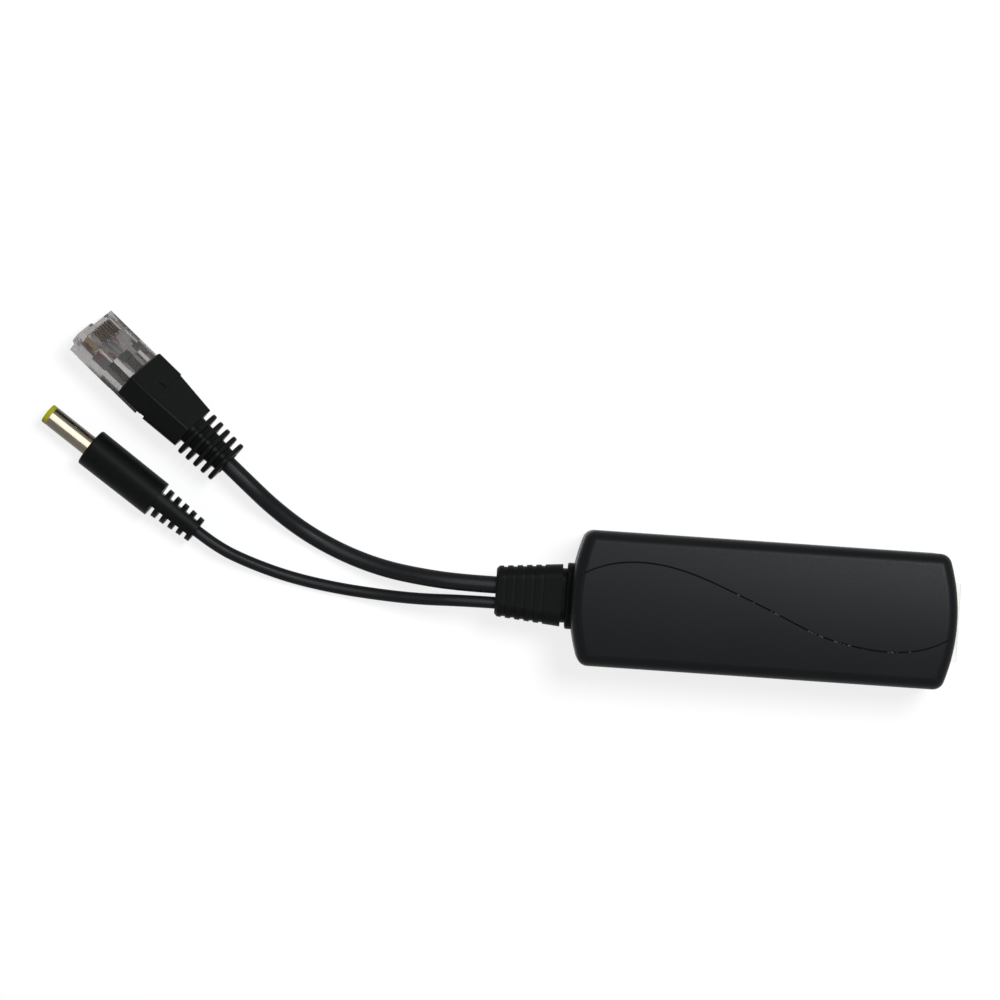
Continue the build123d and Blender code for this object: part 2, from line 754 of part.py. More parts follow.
# Clear body of the plug, with the latch in one piece
latch_top = -plug_height / 2 - latch_gap
latch_nose = plug_reach + nose_lip - plug_nose_round
way_width = pressed_width + 2 * plug_clearance
way_height = network_diameter + 2 * plug_clearance
clamp_foot = pressed_height / 2 + clamp_seat
with BuildPart() as plug_body:
    with BuildSketch(across(network_frame, plug_rear)):
        Rectangle(plug_width, plug_height)
    extrude(amount=plug_length)
    with BuildSketch(across(network_frame, plug_reach)):
        with Locations((0, (nose_lip_height - plug_height) / 2)):
            Rectangle(nose_lip_width, nose_lip_height)
    extrude(amount=nose_lip)
    nose_edges = plug_body.edges().filter_by(Axis((0, 0, 0), network_frame.z_dir))
    fillet(nose_edges.group_by(Axis(plug_end, network_frame.x_dir))[-1], plug_nose_round)
    with BuildSketch(beside(network_frame)):
        with BuildLine():
            Polyline(
                (latch_nose, -plug_height / 2 + latch_sink),
                (latch_nose, -plug_height / 2 - latch_sink),
                (plug_reach - latch_slope, latch_top - latch_thickness),
                (plug_reach - latch_length, latch_top - latch_thickness),
                (plug_reach - latch_length, latch_top),
                (plug_reach - latch_slope, latch_top),
                (plug_reach - latch_root, -plug_height / 2 + latch_sink),
                close=True,
            )
        make_face()
    extrude(amount=latch_width / 2, both=True)
    with BuildSketch(across(network_frame, plug_reach - latch_length)):
        with Locations((0, latch_top - latch_thickness / 2)):
            with GridLocations(latch_width, 0, 2, 1):
                Rectangle(latch_width - latch_thumb_width, 2 * latch_thickness)
    extrude(amount=latch_length - latch_shoulder, mode=Mode.SUBTRACT)
    with BuildSketch(across(network_frame, plug_rear)):
        Rectangle(way_width, way_height)
    extrude(amount=jacket_end - plug_rear, mode=Mode.SUBTRACT)
    with BuildSketch(across(network_frame, clamp_start)):
        with Locations((0, (clamp_foot + way_height / 2) / 2)):
            Rectangle(way_width, way_height / 2 - clamp_foot)
    extrude(amount=clamp_length)
    with BuildSketch(across(network_frame, clamp_start)):
        with Locations((0, clamp_foot + clamp_wall + plug_height / 2)):
            Rectangle(clamp_width, plug_height)
    extrude(amount=clamp_length, mode=Mode.SUBTRACT)
    with BuildSketch(across(network_frame, jacket_end)):
        Rectangle(ways * blade_pitch + fan_room, fan_height)
    extrude(amount=fan_length, mode=Mode.SUBTRACT)
    with BuildSketch(across(network_frame, jacket_end)):
        with Locations((0, -wire_drop)):
            Rectangle(ways * blade_pitch + core_room, core_diameter + core_room)
    extrude(amount=row_end - jacket_end, mode=Mode.SUBTRACT)
    for way in range(ways):
        way_y = (way - (ways - 1) / 2) * blade_pitch
        slot_end = plug_reach - blade_setback + slot_clearance
        with BuildSketch(across(network_frame, slot_end)):
            with Locations((way_y, plug_height / 4)):
                Rectangle(blade_thickness + 2 * slot_clearance, plug_height / 2)
        extrude(amount=-blade_length - 2 * slot_clearance, mode=Mode.SUBTRACT)
save(plug_body, "plug_body")

# Gold blades of the plug, standing on their wires
blade_foot = core_diameter / 2 - wire_drop + blade_seat
blade_head = plug_height / 2 - blade_recess
with BuildPart() as plug_contacts:
    for way in range(ways):
        way_y = (way - (ways - 1) / 2) * blade_pitch
        with BuildSketch(across(network_frame, plug_reach - blade_setback)):
            with Locations((way_y, (blade_head + blade_foot) / 2)):
                Rectangle(blade_thickness, blade_head - blade_foot)
        extrude(amount=-blade_length)
save(plug_contacts, "plug_contacts")

# The eight cores, fanned out from the jacket to a flat row under the blades
with BuildPart() as plug_wires:
    for way in range(ways):
        way_y = (way - (ways - 1) / 2) * blade_pitch
        bundle_y = way_y / 2
        bundle_z = bundle_rise if way % 2 else -bundle_rise
        stations = [
            (jacket_end, bundle_y, bundle_z),
            (jacket_end + fan_start, bundle_y, bundle_z),
            (jacket_end + fan_length, way_y, -wire_drop),
            (row_end - wire_end_gap, way_y, -wire_drop),
        ]
        corners = [placed(network_frame, Plane(station)).origin for station in stations]
        with BuildLine() as core_path:
            FilletPolyline(*corners, radius=fan_bend)
        with BuildSketch(across(network_frame, jacket_end)):
            with Locations((bundle_y, bundle_z)):
                Circle(plug_core_diameter / 2)
        sweep(path=core_path.line)
save(plug_wires, "plug_wires")

# Grip of the DC plug with its slotted tail
grip_end = dc_tail_length + grip_length
with BuildPart() as dc_plug_grip:
    with BuildSketch(across(dc_frame, 0)):
        Circle(dc_tail_tip / 2)
    with BuildSketch(across(dc_frame, dc_tail_length)):
        Circle(dc_tail_root / 2)
    loft()
    with BuildSketch(across(dc_frame, dc_tail_length)):
        Circle(grip_rear / 2)
    with BuildSketch(across(dc_frame, grip_end)):
        Circle(grip_front / 2)
    loft()
    fillet(dc_plug_grip.faces().sort_by(Axis(dc_end, dc_frame.x_dir))[-1].edges(), grip_round)
    for gap in range(tail_ribs):
        slot_x = dc_tail_rib + gap * dc_tail_pitch
        with BuildSketch(across(dc_frame, slot_x)):
            with GridLocations(dc_spine + dc_tail_root, 0, 2, 1):
                Rectangle(dc_tail_root, 2 * dc_tail_root)
        extrude(amount=dc_tail_pitch - dc_tail_rib, mode=Mode.SUBTRACT)
    with BuildSketch(across(dc_frame, grip_end)):
        Circle(barrel_root_diameter / 2 + sleeve_gap)
    extrude(amount=-barrel_seat - sleeve_gap, mode=Mode.SUBTRACT)
save(dc_plug_grip, "dc_plug_grip")

# Nested sleeves of the DC plug
barrel_start = grip_end - barrel_seat
barrel_end = grip_end + barrel_reach
sleeve_outer = bore_diameter / 2 + sleeve_wall
with BuildPart() as dc_plug_barrel:
    with BuildSketch(across(dc_frame, barrel_start)):
        Circle(barrel_root_diameter / 2)
    extrude(amount=barrel_seat + barrel_shoulder)
    with BuildSketch(across(dc_frame, barrel_start)):
        Circle(barrel_diameter / 2)
    extrude(amount=barrel_end - barrel_start)
    with BuildSketch(across(dc_frame, barrel_start)):
        Circle(barrel_diameter / 2 - barrel_wall)
    extrude(amount=barrel_end - barrel_start, mode=Mode.SUBTRACT)
save(dc_plug_barrel, "dc_plug_barrel")

with BuildPart() as dc_plug_tip:
    with BuildSketch(across(dc_frame, barrel_start)):
        Circle(barrel_diameter / 2 - barrel_wall - sleeve_gap)
    extrude(amount=barrel_end - barrel_start)
    with BuildSketch(across(dc_frame, barrel_end)):
        Circle(barrel_diameter / 2)
    extrude(amount=tip_length)
    fillet(dc_plug_tip.faces().sort_by(Axis(dc_end, dc_frame.x_dir))[-1].edges(), tip_edge)
    with BuildSketch(across(dc_frame, barrel_start)):
        Circle(sleeve_outer + sleeve_gap)
    extrude(amount=barrel_end + tip_length - barrel_start, mode=Mode.SUBTRACT)
save(dc_plug_tip, "dc_plug_tip")

with BuildPart() as dc_plug_inner_sleeve:
    with BuildSketch(across(dc_frame, barrel_start)):
        Circle(sleeve_outer)
        Circle(bore_diameter / 2, mode=Mode.SUBTRACT)
    extrude(amount=barrel_end + tip_length - sleeve_recess - barrel_start)
save(dc_plug_inner_sleeve, "dc_plug_inner_sleeve")
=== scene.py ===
import json
import math

import bpy
from mathutils import Matrix, Vector


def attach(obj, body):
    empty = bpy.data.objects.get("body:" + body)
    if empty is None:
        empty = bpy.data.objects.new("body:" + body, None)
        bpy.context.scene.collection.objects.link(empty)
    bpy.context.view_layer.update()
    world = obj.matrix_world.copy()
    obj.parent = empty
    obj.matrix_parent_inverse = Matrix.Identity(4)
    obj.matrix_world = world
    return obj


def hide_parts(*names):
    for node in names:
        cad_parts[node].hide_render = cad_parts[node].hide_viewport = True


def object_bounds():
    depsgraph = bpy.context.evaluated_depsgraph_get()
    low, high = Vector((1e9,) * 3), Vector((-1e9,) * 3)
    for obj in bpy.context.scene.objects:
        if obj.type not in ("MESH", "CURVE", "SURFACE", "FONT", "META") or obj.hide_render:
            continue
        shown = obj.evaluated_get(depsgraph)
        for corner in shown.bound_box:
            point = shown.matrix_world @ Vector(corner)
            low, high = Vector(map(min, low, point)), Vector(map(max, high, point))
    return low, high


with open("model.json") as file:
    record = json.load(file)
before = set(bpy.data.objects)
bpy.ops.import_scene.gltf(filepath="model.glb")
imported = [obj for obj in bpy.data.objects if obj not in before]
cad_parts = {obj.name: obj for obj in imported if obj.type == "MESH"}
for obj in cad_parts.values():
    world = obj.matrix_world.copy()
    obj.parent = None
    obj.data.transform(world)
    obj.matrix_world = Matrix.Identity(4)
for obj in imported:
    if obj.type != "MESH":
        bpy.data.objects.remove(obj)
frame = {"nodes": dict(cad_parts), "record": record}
cadLow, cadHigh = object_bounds()
nodes = frame["nodes"]
mm = 0.001
print("frame loaded,", len(nodes), "nodes")


# adds one node: its own settings, its socket values and its links
def addNode(tree, kind, settings=None, values=None, links=None):
    node = tree.nodes.new(kind)
    for name, value in (settings or {}).items():
        setattr(node, name, value)
    for socket, value in (values or {}).items():
        node.inputs[socket].default_value = value
    for socket, (source, output) in (links or {}).items():
        tree.links.new(source.outputs[output], node.inputs[socket])
    return node


# sRGB hex to the linear colour that the sockets take
def hexColour(code):
    channels = [int(code[i:i + 2], 16) / 255 for i in (1, 3, 5)]
    return tuple(c / 12.92 if c <= 0.04045 else ((c + 0.055) / 1.055) ** 2.4 for c in channels) + (1.0,)


# a new material, its tree, its shader and the node that gives the piece's own coordinates
def startMaterial(name):
    material = bpy.data.materials.new(name)
    material.use_nodes = True
    tree = material.node_tree
    return material, tree, tree.nodes["Principled BSDF"], addNode(tree, "ShaderNodeTexCoord")


noiseRange = {"From Min": 0.3, "From Max": 0.7}  # most of a noise's values lie between these


# Camera, straight above the middle of the picture
view = {
    "place": (-60.18 * mm, 20.37 * mm, 900 * mm),
    "turn": 3.9,
    "lens": 142.6,
    "sensor": 36.0,
    "near": 0.01,
    "far": 10.0,
}
cameraData = bpy.data.cameras.new("camera")
cameraData.lens = view["lens"]
cameraData.sensor_width = view["sensor"]
cameraData.clip_start = view["near"]
cameraData.clip_end = view["far"]
camera = bpy.data.objects.new("camera", cameraData)
camera.location = view["place"]
camera.rotation_euler = (0, 0, math.radians(view["turn"]))
bpy.context.scene.collection.objects.link(camera)
bpy.context.scene.camera = camera
bpy.context.scene.view_settings.view_transform = "Standard"
print("camera set")


# Finishes that differ only in their values: two tones in patches, and a finer grain in the roughness and the
# relief. patch and grain are the sizes of these; the grain is drawn coarser than the real one, so that it
# shows, and relief is its height
finishLooks = {
    # plasticised PVC moulded over the leads: satin and nearly black, so that only its tips and edges catch light
    "mouldedPvc": {
        "deep": "#090a0a", "pale": "#0c0d0d", "patch": 1.6 * mm, "grain": 0.25 * mm, "relief": 0.005 * mm,
        "rough": (0.38, 0.46), "specular": 0.055, "ior": 1.5,
    },
    # the same PVC extruded over the cores: smoother, so that each lead has one thin line of light
    "extrudedPvc": {
        "deep": "#090a0b", "pale": "#0c0d0e", "patch": 1.1 * mm, "grain": 0.3 * mm, "relief": 0.004 * mm,
        "rough": (0.3, 0.36), "specular": 0.05, "ior": 1.5,
    },
    # off-white thermoplastic of the socket, moulded and unpolished: even, faintly warm, with a soft sheen
    "mouldedThermoplastic": {
        "deep": "#e9e6dc", "pale": "#f2f0e9", "patch": 3.0 * mm, "grain": 0.3 * mm, "relief": 0.005 * mm,
        "rough": (0.34, 0.46), "specular": 0.5, "ior": 1.55,
    },
    # dyed thermoplastic of the plug's tip: strong greenish yellow, slightly uneven where the dye flowed
    "yellowThermoplastic": {
        "deep": "#9b9a08", "pale": "#a8a61c", "patch": 0.9 * mm, "grain": 0.2 * mm, "relief": 0.006 * mm,
        "rough": (0.4, 0.5), "specular": 0.12, "ior": 1.55,
    },
    # epoxy moulded round the chips: matt dark grey with a sandy grain
    "mouldedEpoxy": {
        "deep": "#17171a", "pale": "#202023", "patch": 0.8 * mm, "grain": 0.15 * mm, "relief": 0.01 * mm,
        "rough": (0.55, 0.7), "specular": 0.4, "ior": 1.55,
    },
    # sintered and ground ferrite: dark grey, dry, with fine pits
    "sinteredFerrite": {
        "deep": "#2a2a2d", "pale": "#3a3a3d", "patch": 0.7 * mm, "grain": 0.12 * mm, "relief": 0.02 * mm,
        "rough": (0.5, 0.68), "specular": 0.5, "ior": 2.0,
    },
    # polyester tape over the winding: glossy amber, with the turns of wire showing as a soft mottle
    "polyesterTape": {
        "deep": "#b4841b", "pale": "#d0a12e", "patch": 0.6 * mm, "grain": 0.3 * mm, "relief": 0.02 * mm,
        "rough": (0.2, 0.32), "specular": 0.5, "ior": 1.57,
    },
    # glass-epoxy board under green solder mask: glossy, with copper showing as paler green patches
    "solderMask": {
        "deep": "#0f4220", "pale": "#1f6a37", "patch": 1.8 * mm, "grain": 0.4 * mm, "relief": 0.01 * mm,
        "rough": (0.22, 0.36), "specular": 0.5, "ior": 1.55,
    },
    # drawn aluminium cans: bright grey metal, brushed by the die
    "drawnAluminium": {
        "deep": "#b4b6b9", "pale": "#c9cbce", "patch": 1.2 * mm, "grain": 0.2 * mm, "relief": 0.003 * mm,
        "rough": (0.26, 0.38), "metallic": 1.0,
    },
    # gold plated on bronze strip, stamped: warm metal, a little uneven from the stamping
    "goldPlatedBronze": {
        "deep": "#f4d48e", "pale": "#ffe6b0", "patch": 0.6 * mm, "grain": 0.12 * mm, "relief": 0.003 * mm,
        "rough": (0.42, 0.54), "metallic": 1.0,
    },
}
# what these finishes share
finishNoise = {
    "patchDetail": 3.0,
    "grainDetail": 1.0,
    "bump": 0.6,
}


def makeFinish(name):
    look = finishLooks[name]
    material, tree, shader, place = startMaterial(name)
    shader.inputs["Metallic"].default_value = look.get("metallic", 0.0)
    if "ior" in look:  # a metal keeps the default
        shader.inputs["IOR"].default_value = look["ior"]
        shader.inputs["Specular IOR Level"].default_value = look["specular"]
    patches = addNode(tree, "ShaderNodeTexNoise", links={"Vector": (place, "Object")},
                      values={"Scale": 1 / look["patch"], "Detail": finishNoise["patchDetail"]})
    grain = addNode(tree, "ShaderNodeTexNoise", links={"Vector": (place, "Object")},
                    values={"Scale": 1 / look["grain"], "Detail": finishNoise["grainDetail"]})
    share = addNode(tree, "ShaderNodeMapRange", values=noiseRange, links={"Value": (patches, "Fac")})
    tint = addNode(tree, "ShaderNodeMix", settings={"data_type": "RGBA"}, links={"Factor": (share, "Result")})
    tint.inputs["A"].default_value = hexColour(look["deep"])
    tint.inputs["B"].default_value = hexColour(look["pale"])
    tree.links.new(tint.outputs["Result"], shader.inputs["Base Color"])
    low, high = look["rough"]
    rough = addNode(tree, "ShaderNodeMapRange", links={"Value": (grain, "Fac")},
                    values={**noiseRange, "To Min": low, "To Max": high})
    tree.links.new(rough.outputs["Result"], shader.inputs["Roughness"])
    bump = addNode(tree, "ShaderNodeBump", links={"Height": (grain, "Fac")},
                   values={"Strength": finishNoise["bump"], "Distance": look["relief"]})
    tree.links.new(bump.outputs["Normal"], shader.inputs["Normal"])
    return material


finishes = {name: makeFinish(name) for name in finishLooks}
print("plain finishes made")

# ABS moulded in a spark-eroded tool: a fine even grain turns the lamp into one broad soft gradient on the lid
housingLook = {
    "deep": "#050709",
    "pale": "#080b0d",
    "cloud": 18 * mm,  # slow change of tone across the lid
    "cloudDetail": 3.0,
    "grainShare": 0.6,  # how much the grain adds to the cloud in the tone
    "toneRange": (0.55, 1.05),  # of the two together, from the deep tone to the pale one
    "crown": 3.2,  # the lid falls off this much per square metre from its middle line, 0.46 mm at its edges
    "grain": 0.3 * mm,  # coarser than the real grain, so that it shows
    "grainDetail": 2.0,
    "relief": 0.006 * mm,
    "rough": (0.36, 0.44),
    "specular": 0.092,
    "ior": 1.53,
    "grooveHalf": 0.1 * mm,  # half the width of the engraved line, then its soft edge
    "grooveEdge": 0.12 * mm,
    "groovePaintedShade": "#0b0c0c",  # painted shade: the engraved line darkened as if unlit
    "grooveReach": 10 * mm,  # how far across the lid the line's curve can go, either way
    "lidDepth": 0.5 * mm,  # the line is drawn only this far down from the lid's top
    "groovePaintedGlint": "#55524a",  # painted glints: pale where light catches the groove's edges
    "glintHalf": 0.08 * mm,
    "glintPitch": 0.55 * mm,
    "glintRange": (0.47, 0.56),  # of the noise that breaks the glinting stretches into ticks
}
# middle of the engraved line on the lid, as on the solid: x and y in mm
engravedLine = [
    (-40.99, 5.1), (-37.14, 7.03), (-32.99, 8.21), (-28.71, 8.66), (-24.4, 8.49), (-20.14, 7.8), (-15.97, 6.69),
    (-11.89, 5.28), (-7.87, 3.7), (-3.87, 2.08), (0.12, 0.43), (4.08, -1.29), (8.01, -3.07), (12.02, -4.67),
    (16.15, -5.9), (20.39, -6.74), (24.67, -7.27), (28.98, -7.4), (33.27, -6.94), (37.41, -5.74), (41.2, -3.7),
]
# stretches of that line with painted glints on its edges, from and to x in mm
glintStretches = [
    (-6.4, -5.7), (-2.9, -2.2), (1.1, 3.0), (9.2, 13.5),
    (15.4, 20.2), (22.2, 23.1), (27.4, 29.7), (31.9, 32.6),
]


def makeHousing():
    look = housingLook
    material, tree, shader, place = startMaterial("sparkGrainedAbs")
    shader.inputs["IOR"].default_value = look["ior"]
    shader.inputs["Specular IOR Level"].default_value = look["specular"]
    cloud = addNode(tree, "ShaderNodeTexNoise", links={"Vector": (place, "Object")},
                    values={"Scale": 1 / look["cloud"], "Detail": look["cloudDetail"]})
    grain = addNode(tree, "ShaderNodeTexNoise", links={"Vector": (place, "Object")},
                    values={"Scale": 1 / look["grain"], "Detail": look["grainDetail"]})
    mixed = addNode(tree, "ShaderNodeMath", settings={"operation": "MULTIPLY_ADD"},
                    values={1: look["grainShare"]}, links={0: (grain, "Fac"), 2: (cloud, "Fac")})
    deepest, palest = look["toneRange"]
    share = addNode(tree, "ShaderNodeMapRange", values={"From Min": deepest, "From Max": palest},
                    links={"Value": (mixed, "Value")})
    tint = addNode(tree, "ShaderNodeMix", settings={"data_type": "RGBA"}, links={"Factor": (share, "Result")})
    tint.inputs["A"].default_value = hexColour(look["deep"])
    tint.inputs["B"].default_value = hexColour(look["pale"])

    # how far a point lies from the engraved line, across the lid
    low, high = engravedLine[0][0] * mm, engravedLine[-1][0] * mm
    reach = look["grooveReach"]
    axes = addNode(tree, "ShaderNodeSeparateXYZ", links={"Vector": (place, "Object")})
    along = addNode(tree, "ShaderNodeMapRange", values={"From Min": low, "From Max": high},
                    links={"Value": (axes, "X")})
    course = addNode(tree, "ShaderNodeFloatCurve", links={"Value": (along, "Result")})
    points = course.mapping.curves[0].points
    shares = [((x * mm - low) / (high - low), y * mm / (2 * reach) + 0.5) for x, y in engravedLine]
    points[0].location, points[-1].location = shares[0], shares[-1]
    for x, y in shares[1:-1]:
        points.new(x, y)
    course.mapping.update()
    middle = addNode(tree, "ShaderNodeMapRange", values={"To Min": -reach, "To Max": reach},
                     links={"Value": (course, "Value")})
    offset = addNode(tree, "ShaderNodeMath", settings={"operation": "SUBTRACT"},
                     links={0: (axes, "Y"), 1: (middle, "Result")})
    away = addNode(tree, "ShaderNodeMath", settings={"operation": "ABSOLUTE"}, links={0: (offset, "Value")})
    # only on the lid's face, between the line's two ends
    onLid = addNode(tree, "ShaderNodeMath", settings={"operation": "GREATER_THAN"},
                    values={1: cadHigh[2] - look["lidDepth"]}, links={0: (axes, "Z")})
    half = (high - low) / 2
    fromMiddle = addNode(tree, "ShaderNodeMath", settings={"operation": "SUBTRACT"},
                         values={1: low + half}, links={0: (axes, "X")})
    endwards = addNode(tree, "ShaderNodeMath", settings={"operation": "ABSOLUTE"},
                       links={0: (fromMiddle, "Value")})
    between = addNode(tree, "ShaderNodeMath", settings={"operation": "LESS_THAN"},
                      values={1: half}, links={0: (endwards, "Value")})
    allowed = addNode(tree, "ShaderNodeMath", settings={"operation": "MULTIPLY"},
                      links={0: (onLid, "Value"), 1: (between, "Value")})
    near = addNode(tree, "ShaderNodeMapRange", links={"Value": (away, "Value")},
                   values={"From Min": look["grooveHalf"], "From Max": look["grooveHalf"] + look["grooveEdge"],
                           "To Min": 1.0, "To Max": 0.0})
    groove = addNode(tree, "ShaderNodeMath", settings={"operation": "MULTIPLY"},
                     links={0: (near, "Result"), 1: (allowed, "Value")})
    # painted shade: the tone inside the engraved line is darkened, as shade falls in the recess
    grooveShaded = addNode(tree, "ShaderNodeMix", settings={"data_type": "RGBA"},
                  links={"Factor": (groove, "Value"), "A": (tint, "Result")})
    grooveShaded.inputs["B"].default_value = hexColour(look["groovePaintedShade"])

    # painted glints: pale ticks along the groove's edges on those stretches
    glinting = addNode(tree, "ShaderNodeValToRGB", links={"Fac": (along, "Result")})
    ramp = glinting.color_ramp
    ramp.interpolation = "CONSTANT"
    ramp.elements[0].color, ramp.elements[1].color = (0, 0, 0, 1), (0, 0, 0, 1)
    for start, end in glintStretches:
        for x, level in ((start, 1.0), (end, 0.0)):
            stop = ramp.elements.new((x * mm - low) / (high - low))
            stop.color = (level, level, level, 1)
    ticks = addNode(tree, "ShaderNodeTexNoise", values={"Scale": 1 / look["glintPitch"], "Detail": 0.0},
                    links={"Vector": (place, "Object")})
    bare, full = look["glintRange"]
    broken = addNode(tree, "ShaderNodeMapRange", values={"From Min": bare, "From Max": full},
                     links={"Value": (ticks, "Fac")})
    thin = addNode(tree, "ShaderNodeMapRange", links={"Value": (away, "Value")},
                   values={"From Min": look["glintHalf"], "From Max": look["glintHalf"] + look["grooveEdge"],
                           "To Min": 1.0, "To Max": 0.0})
    spots = addNode(tree, "ShaderNodeMath", settings={"operation": "MULTIPLY"},
                    links={0: (broken, "Result"), 1: (glinting, "Color")})
    spots = addNode(tree, "ShaderNodeMath", settings={"operation": "MULTIPLY"},
                    links={0: (spots, "Value"), 1: (thin, "Result")})
    spots = addNode(tree, "ShaderNodeMath", settings={"operation": "MULTIPLY"},
                    links={0: (spots, "Value"), 1: (allowed, "Value")})
    glinted = addNode(tree, "ShaderNodeMix", settings={"data_type": "RGBA"},
                      links={"Factor": (spots, "Value"), "A": (grooveShaded, "Result")})
    glinted.inputs["B"].default_value = hexColour(look["groovePaintedGlint"])
    tree.links.new(glinted.outputs["Result"], shader.inputs["Base Color"])

    smooth, coarse = look["rough"]
    rough = addNode(tree, "ShaderNodeMapRange", links={"Value": (grain, "Fac")},
                    values={**noiseRange, "To Min": smooth, "To Max": coarse})
    matt = addNode(tree, "ShaderNodeMath", settings={"operation": "MAXIMUM"},
                   links={0: (rough, "Result"), 1: (groove, "Value")})
    tree.links.new(matt.outputs["Value"], shader.inputs["Roughness"])
    # the grain's height on top of the lid's slight crown, in metres
    squared = addNode(tree, "ShaderNodeMath", settings={"operation": "MULTIPLY"},
                      links={0: (axes, "Y"), 1: (axes, "Y")})
    crowned = addNode(tree, "ShaderNodeMath", settings={"operation": "MULTIPLY"},
                      values={1: -look["crown"]}, links={0: (squared, "Value")})
    height = addNode(tree, "ShaderNodeMath", settings={"operation": "MULTIPLY_ADD"},
                     values={1: look["relief"]}, links={0: (grain, "Fac"), 2: (crowned, "Value")})
    bump = addNode(tree, "ShaderNodeBump", values={"Strength": 1.0, "Distance": 1.0},
                   links={"Height": (height, "Value")})
    tree.links.new(bump.outputs["Normal"], shader.inputs["Normal"])
    return material


finishes["sparkGrainedAbs"] = makeHousing()
print("housing finish made")

# Nickel plated on turned brass: warm grey metal with rings round it from the lathe
barrelLook = {
    "heading": (-0.824126, 0.566406, 0.0),  # along the barrel
    "deep": "#5f594f",
    "pale": "#6e685d",
    "ring": 0.12 * mm,  # coarser than the real rings, so that they show
    "ringDetail": 2.0,
    "patch": 1.5 * mm,
    "patchDetail": 3.0,
    "relief": 0.0003 * mm,
    "bump": 0.5,
    "rough": (0.16, 0.24),
}


def makeBarrelNickel():
    look = barrelLook
    material, tree, shader, place = startMaterial("nickelPlatedBrass")
    shader.inputs["Metallic"].default_value = 1.0
    station = addNode(tree, "ShaderNodeVectorMath", settings={"operation": "DOT_PRODUCT"},
                      values={1: look["heading"]}, links={0: (place, "Object")})
    rings = addNode(tree, "ShaderNodeTexNoise", settings={"noise_dimensions": "1D"},
                    values={"Scale": 1 / look["ring"], "Detail": look["ringDetail"]},
                    links={"W": (station, "Value")})
    patches = addNode(tree, "ShaderNodeTexNoise", links={"Vector": (place, "Object")},
                      values={"Scale": 1 / look["patch"], "Detail": look["patchDetail"]})
    tint = addNode(tree, "ShaderNodeMix", settings={"data_type": "RGBA"}, links={"Factor": (patches, "Fac")})
    tint.inputs["A"].default_value = hexColour(look["deep"])
    tint.inputs["B"].default_value = hexColour(look["pale"])
    tree.links.new(tint.outputs["Result"], shader.inputs["Base Color"])
    smooth, coarse = look["rough"]
    rough = addNode(tree, "ShaderNodeMapRange", links={"Value": (rings, "Fac")},
                    values={**noiseRange, "To Min": smooth, "To Max": coarse})
    tree.links.new(rough.outputs["Result"], shader.inputs["Roughness"])
    bump = addNode(tree, "ShaderNodeBump", values={"Strength": look["bump"], "Distance": look["relief"]},
                   links={"Height": (rings, "Fac")})
    tree.links.new(bump.outputs["Normal"], shader.inputs["Normal"])
    return material


finishes["nickelPlatedBrass"] = makeBarrelNickel()

# Clear polycarbonate, moulded: grey in the mass, with faint flow lines that break up what lies behind it
clearLook = {
    "deep": "#a7a4a3",
    "pale": "#bbb8b7",
    "flow": 2.5 * mm,
    "flowDetail": 2.0,
    "swirl": 0.6,
    "ripple": 1.2 * mm,
    "rippleDetail": 1.0,
    "relief": 0.006 * mm,
    "bump": 0.35,
    "rough": (0.06, 0.12),
    "clear": 0.94,  # the rest is haze in the mass
    "ior": 1.32,
}


def makeClear():
    look = clearLook
    material, tree, shader, place = startMaterial("clearPolycarbonate")
    shader.inputs["Transmission Weight"].default_value = look["clear"]
    shader.inputs["IOR"].default_value = look["ior"]
    flow = addNode(tree, "ShaderNodeTexNoise", links={"Vector": (place, "Object")},
                   values={"Scale": 1 / look["flow"], "Detail": look["flowDetail"], "Distortion": look["swirl"]})
    ripple = addNode(tree, "ShaderNodeTexNoise", links={"Vector": (place, "Object")},
                     values={"Scale": 1 / look["ripple"], "Detail": look["rippleDetail"]})
    tint = addNode(tree, "ShaderNodeMix", settings={"data_type": "RGBA"}, links={"Factor": (flow, "Fac")})
    tint.inputs["A"].default_value = hexColour(look["deep"])
    tint.inputs["B"].default_value = hexColour(look["pale"])
    tree.links.new(tint.outputs["Result"], shader.inputs["Base Color"])
    clear, cloudy = look["rough"]
    rough = addNode(tree, "ShaderNodeMapRange", links={"Value": (flow, "Fac")},
                    values={**noiseRange, "To Min": clear, "To Max": cloudy})
    tree.links.new(rough.outputs["Result"], shader.inputs["Roughness"])
    bump = addNode(tree, "ShaderNodeBump", values={"Strength": look["bump"], "Distance": look["relief"]},
                   links={"Height": (ripple, "Fac")})
    tree.links.new(bump.outputs["Normal"], shader.inputs["Normal"])
    return material


finishes["clearPolycarbonate"] = makeClear()

# Extruded polyolefin on the cores, one colour for each way; every other core is pale with a tint of its pair
coreLook = {
    "colours": ["#b06a35", "#d8cabb", "#4f7d5c", "#c4d0d6", "#44618f", "#c9d6c8", "#dcc2c2", "#b22f40"],
    "patch": 0.8 * mm,
    "patchDetail": 2.0,
    "shade": 0.82,  # the deep tone, as a share of the colour
    "rough": 0.36,
}


def makeCore(name, colour):
    look = coreLook
    material, tree, shader, place = startMaterial(name)
    shader.inputs["Roughness"].default_value = look["rough"]
    patches = addNode(tree, "ShaderNodeTexNoise", links={"Vector": (place, "Object")},
                      values={"Scale": 1 / look["patch"], "Detail": look["patchDetail"]})
    pale = hexColour(colour)
    tint = addNode(tree, "ShaderNodeMix", settings={"data_type": "RGBA"}, links={"Factor": (patches, "Fac")})
    tint.inputs["A"].default_value = tuple(c * look["shade"] for c in pale[:3]) + (1.0,)
    tint.inputs["B"].default_value = pale
    tree.links.new(tint.outputs["Result"], shader.inputs["Base Color"])
    return material


coreFinishes = [
    makeCore("coreInsulation%d" % (way + 1), colour) for way, colour in enumerate(coreLook["colours"])
]

